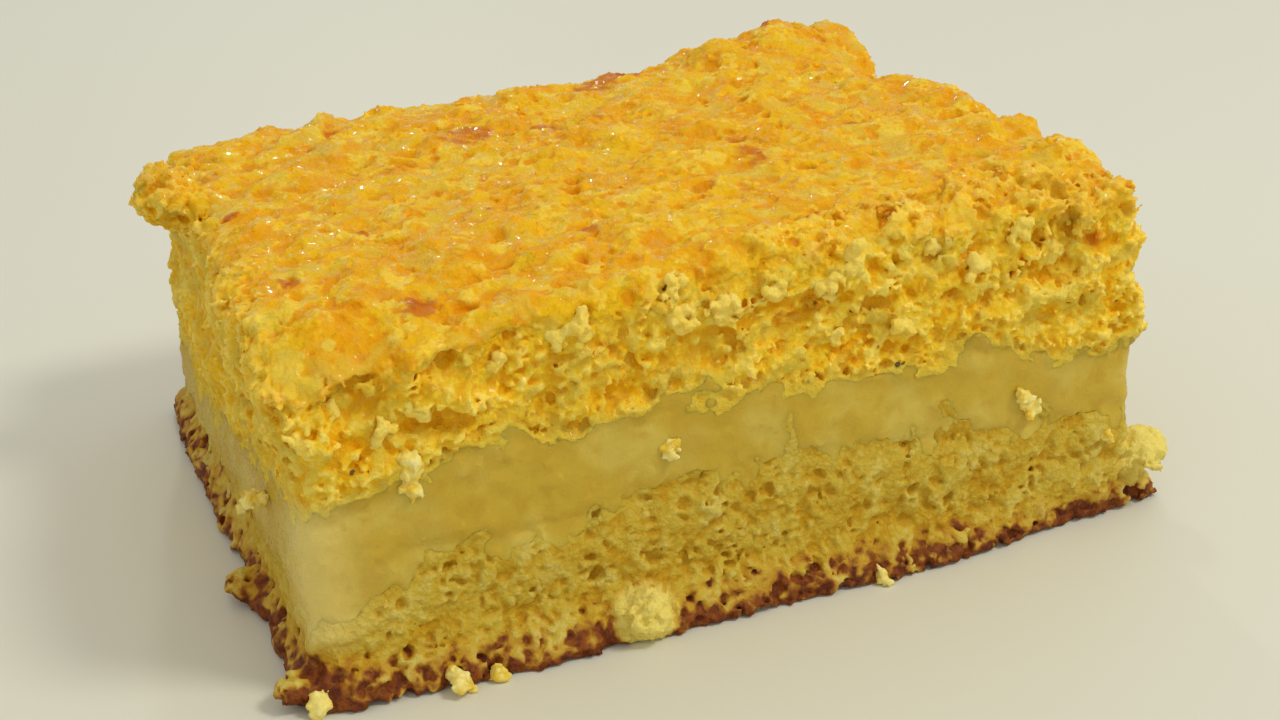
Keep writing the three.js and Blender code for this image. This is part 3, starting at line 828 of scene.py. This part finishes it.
# --- Clinging crumbs -----------------------------------------------------------------------------
# Small pale flakes of crumb that the knife dragged over the cream and the front, and bits that fell
# to the foot. They are of the same sponge and simply stick to the moist face.
# On the front face: place along and up it, radius, and how far the grains spread.
FRONT_CRUMBS = (
    ((10.4, 24.0), 0.75, 0.8),
    ((9.8, 20.0), 0.7, 0.7),
    ((9.9, 18.7), 0.85, 0.8),
    ((9.7, 17.3), 0.8, 0.8),
    ((31.0, 16.4), 0.75, 0.7),
    ((64.2, 13.9), 0.6, 0.7),
    ((65.0, 12.7), 0.65, 0.7),
    ((24.0, 28.6), 0.9, 0.9),
    ((31.5, 28.0), 0.75, 0.9),
    ((36.0, 28.2), 0.6, 0.8),
    ((36.1, 26.8), 0.6, 0.8),
    ((45.2, 28.0), 0.6, 0.8),
    ((45.6, 26.9), 0.4, 0.4),
    ((72.7, 8.4), 0.5, 0.4),
    ((32.3, 27.0), 0.7, 1.1),
    ((36.6, 27.2), 0.6, 1.1),
    ((31.7, 30.0), 0.65, 1.0),
    ((40.4, 28.1), 0.8, 1.0),
    ((45.4, 28.6), 0.5, 0.9),
    ((47.4, 29.6), 0.9, 1.0),
    ((54.9, 29.3), 0.8, 1.1),
    ((59.0, 27.0), 0.8, 1.0),
    ((51.7, 23.1), 0.6, 0.8),
    ((46.1, 23.0), 0.5, 0.8),
    ((63.3, 29.3), 0.7, 1.0),
    ((22.3, 28.0), 0.7, 0.9),
    ((17.4, 26.4), 0.6, 0.8),
    ((8.0, 22.8), 0.6, 0.8),
    ((4.4, 24.4), 0.6, 0.9),
)
# At the foot and on the left side: place and radius.
FOOT_CRUMBS = (
    (0.4, -1.4, 1.0, 0.9),
    (11.5, -2.7, 0.8, 0.9),
    (14.8, -2.5, 0.7, 0.7),
    (49.4, -2.5, 0.6, 0.6),
)
SIDE_CRUMBS = ((0.0, 46.9, 15.6, 0.8), (-0.2, 13.3, 12.2, 0.8), (-0.2, 23.0, 6.3, 0.7))
CRUMB_PALE, CRUMB_MEAN, CRUMB_DEEP = (0.94, 0.83, 0.33), (0.91, 0.76, 0.20), (0.84, 0.56, 0.04)
FLAKE_YELLOW, YELLOW_AT_MOST, YELLOW_ABOVE = (0.90, 0.66, 0.085), 0.75, (20.5, 22.5)
CRUMB_TRIANGLES = 60000
GRAINS_IN_A_CRUMB, SMALLEST_GRAIN, GRAIN_BLEND = 9, 0.32, 0.12
FIRST_GRAIN, OTHER_GRAINS, GRAINS_SPREAD = 0.75, (0.4, 0.75), 0.5
PRESSED_FLAT, FOOT_CRUMBS_SMALLER = 0.25, 0.9
CRUMB_WORN, CRUMB_RIDGES, CRUMB_FINE_RIDGES, CRUMB_TONES = 0.14, 0.12, 0.14, 0.12
FAR_AWAY = 9.0

warp_x, warp_y, warp_z = (np.broadcast_to(axis, cells) for axis in (X, Y, Z))
crumb_field = np.full(cells, FAR_AWAY, np.float32)
crumb_rng = np.random.default_rng(51)


def front_at(x, z):
    """Where the front face lies at this place."""
    across = int((x + NEAR_LEFT_CORNER[0]) / CELL - first_cell[0])
    column = surface[across, :, int(z / CELL - first_cell[2])]
    return Y.ravel()[np.argmax(column < 0)]


def flaky_crumb(x, y, z, radius, spread, flat):
    """A crumb of uneven grains round a middle, flattened against the face it clings to."""
    for number in range(GRAINS_IN_A_CRUMB):
        offset = crumb_rng.normal(0, GRAINS_SPREAD * spread, 3) * (1, flat, 1) * (number > 0)
        if number == 0:
            grain = radius * FIRST_GRAIN
        else:
            grain = max(SMALLEST_GRAIN, radius * crumb_rng.uniform(*OTHER_GRAINS))
        set_balls(crumb_field, [np.array((x, y, z)) + offset], [grain], GRAIN_BLEND)


for (x, z), radius, spread in FRONT_CRUMBS:
    flaky_crumb(x, front_at(x, z), z, radius, spread, PRESSED_FLAT)
for x, y, z, radius in SIDE_CRUMBS:
    flaky_crumb(x, y, z, radius, radius, 1.0)
for x, y, z, radius in FOOT_CRUMBS:
    flaky_crumb(x, y, z, FOOT_CRUMBS_SMALLER * radius, radius, 1.0)
crumb_field += CRUMB_WORN - CRUMB_RIDGES * np.abs(rough_1) - CRUMB_FINE_RIDGES * np.abs(rough_half)
crumbs = cut_out("clinging_crumbs", np.maximum(crumb_field, -Z), CRUMB_TRIANGLES, one_shell=False)
points = points_of(crumbs)
# On the loose crumbs this value is only random tone, with no shade in it.
note(crumbs, "hollow_shade_and_tone", CRUMB_TONES * read_at(rough_1, points))
note(crumbs, "yellow", YELLOW_AT_MOST * ramp(points[:, 2], *YELLOW_ABOVE))
del crumb_field

finish = Finish("pale clinging crumb")
colour, height, grains = crumb_colours(finish, CRUMB_PALE, CRUMB_MEAN, CRUMB_DEEP)
colour = finish.mix(finish.noted("yellow"), colour, FLAKE_YELLOW)
finish.done(crumbs, colour, height, depth_mm=0.1, scatter=0.4, scatter_mm=0.5, rough=0.6, gloss=0.3)
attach(crumbs, "root")

# --- Dark flecks ---------------------------------------------------------------------------------
# Specks of bran in the cornmeal, a third to half a millimetre across, and one hair-like sliver on
# the left side. They are baked into the crumb and just stand out of it.
# On the front face: place along and up it, and half size.
FLECKS = (
    (5.2, 19.9, 0.3),
    (47.6, 25.0, 0.24),
    (51.8, 19.4, 0.3),
    (52.3, 19.45, 0.22),
    (72.9, 21.5, 0.28),
)
SLIVER_Y, SLIVER_Z, SLIVER_HALF_SIZES = 15.8, 19.9, (0.14, 0.75, 0.12)
FLECK_SIDES, FLECK_RINGS, FLECK_UNEVEN = 8, 5, (0.75, 1.15)
FLECK_PROPORTIONS, FLECK_STANDS_OUT = (1.0, 0.7, 0.8), 0.12
BRAN_DARK, BRAN_LIGHT = (0.10, 0.05, 0.012), (0.20, 0.11, 0.03)
fleck_points, fleck_faces = [], []


def fleck(middle, half_sizes, rng):
    """A rough little grain, built ring by ring between two end points."""
    start = len(fleck_points)
    for ring in range(1, FLECK_RINGS):
        tilt = math.pi * ring / FLECK_RINGS
        height, width = math.cos(tilt), math.sin(tilt)
        for side in range(FLECK_SIDES):
            turn = 2 * math.pi * side / FLECK_SIDES
            way = np.array((width * math.cos(turn), width * math.sin(turn), height))
            fleck_points.append(middle + way * half_sizes * rng.uniform(*FLECK_UNEVEN))
    rows = FLECK_RINGS - 1
    for ring in range(rows - 1):
        for side in range(FLECK_SIDES):
            a = start + ring * FLECK_SIDES + side
            b = start + ring * FLECK_SIDES + (side + 1) % FLECK_SIDES
            fleck_faces.append((a, a + FLECK_SIDES, b + FLECK_SIDES, b))
    fleck_faces.append(tuple(start + side for side in range(FLECK_SIDES)))
    last = start + (rows - 1) * FLECK_SIDES
    fleck_faces.append(tuple(last + side for side in reversed(range(FLECK_SIDES))))


fleck_rng = np.random.default_rng(61)
for x, z, radius in FLECKS:
    sizes = np.array(FLECK_PROPORTIONS) * radius
    fleck(np.array((x, front_at(x, z) - FLECK_STANDS_OUT, z)), sizes, fleck_rng)
sliver_along = int((SLIVER_Y + NEAR_LEFT_CORNER[1]) / CELL - first_cell[1])
sliver_up = int(SLIVER_Z / CELL - first_cell[2])
sliver_x = X.ravel()[np.argmax(surface[:, sliver_along, sliver_up] < 0)]
fleck(np.array((sliver_x, SLIVER_Y, SLIVER_Z)), np.array(SLIVER_HALF_SIZES), fleck_rng)

fleck_mesh = bpy.data.meshes.new("dark_flecks")
fleck_places = (np.array(fleck_points) + NEAR_LEFT_CORNER) * MM
fleck_mesh.from_pydata(fleck_places.tolist(), [], fleck_faces)
flecks = bpy.data.objects.new("dark_flecks", fleck_mesh)
bpy.context.scene.collection.objects.link(flecks)
finish = Finish("dark bran fleck")
bran = finish.mix(finish.noise(0.15), BRAN_DARK, BRAN_LIGHT)
height = finish.noise(0.1)
finish.done(flecks, bran, height, depth_mm=0.02, scatter=0.0, scatter_mm=0.1, rough=0.6, gloss=0.3)
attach(flecks, "root")

# --- The table, the light and the camera ---------------------------------------------------------
# A plain pale table, a soft room, one broad lamp overhead to the right and a small one behind that
# puts glints on the moist crumb. The camera stands at the photograph's angle.
TABLE_PALE, TABLE_ROUGH = (0.74, 0.73, 0.60, 1), 0.5
ROOM_WHITE, ROOM_LIGHT = (1.0, 0.99, 0.96, 1), 0.65
LIT_MIDDLE = Vector((0, 0, 0.015))

floor_mesh = bpy.data.meshes.new("floor")
floor_mesh.from_pydata([(-1, -1, 0), (1, -1, 0), (1, 1, 0), (-1, 1, 0)], [], [(0, 1, 2, 3)])
floor = bpy.data.objects.new("floor", floor_mesh)
bpy.context.scene.collection.objects.link(floor)
floor_material = bpy.data.materials.new("pale table")
floor_material.use_nodes = True
floor_shader = floor_material.node_tree.nodes["Principled BSDF"]
floor_shader.inputs["Base Color"].default_value = TABLE_PALE
floor_shader.inputs["Roughness"].default_value = TABLE_ROUGH
floor_mesh.materials.append(floor_material)

world = bpy.data.worlds.new("soft room")
bpy.context.scene.world = world
world.use_nodes = True
world.node_tree.nodes["Background"].inputs["Color"].default_value = ROOM_WHITE
world.node_tree.nodes["Background"].inputs["Strength"].default_value = ROOM_LIGHT


def soft_light(name, place, size, power, colour):
    """A round lamp turned to the middle of the cake."""
    light = bpy.data.lights.new(name, "AREA")
    light.shape = "DISK"
    light.size = size
    light.energy = power
    light.color = colour
    lamp = bpy.data.objects.new(name, light)
    lamp.location = place
    lamp.rotation_euler = (LIT_MIDDLE - Vector(place)).to_track_quat("-Z", "Y").to_euler()
    bpy.context.scene.collection.objects.link(lamp)


soft_light("overhead window", (0.30, -0.26, 0.52), size=0.16, power=1.45, colour=(1.0, 0.98, 0.92))
soft_light("back light", (0.10, 0.55, 0.36), size=0.04, power=0.25, colour=(1.0, 0.98, 0.95))

AIM = Vector((1.55, 1.10, 9.94)) * MM
AZIMUTH, ELEVATION, ROLL = (math.radians(angle) for angle in (-20.486, 25.344, -2.0))
DISTANCE = 0.1835
SENSOR_WIDTH, PHOTO_WIDTH, FOCAL_PIXELS = 36.0, 1280, 1900
back = Vector(
    (
        math.sin(AZIMUTH) * math.cos(ELEVATION),
        -math.cos(AZIMUTH) * math.cos(ELEVATION),
        math.sin(ELEVATION),
    )
)
camera_data = bpy.data.cameras.new("camera")
camera_data.sensor_width = SENSOR_WIDTH
camera_data.lens = SENSOR_WIDTH * FOCAL_PIXELS / PHOTO_WIDTH
camera_data.clip_start = 0.01
camera = bpy.data.objects.new("camera", camera_data)
camera.matrix_world = (
    Matrix.Translation(AIM + back * DISTANCE)
    @ (-back).to_track_quat("-Z", "Y").to_matrix().to_4x4()
    @ Matrix.Rotation(ROLL, 4, "Z")
)
bpy.context.scene.collection.objects.link(camera)
bpy.context.scene.camera = camera
bpy.context.scene.view_settings.view_transform = "Standard"
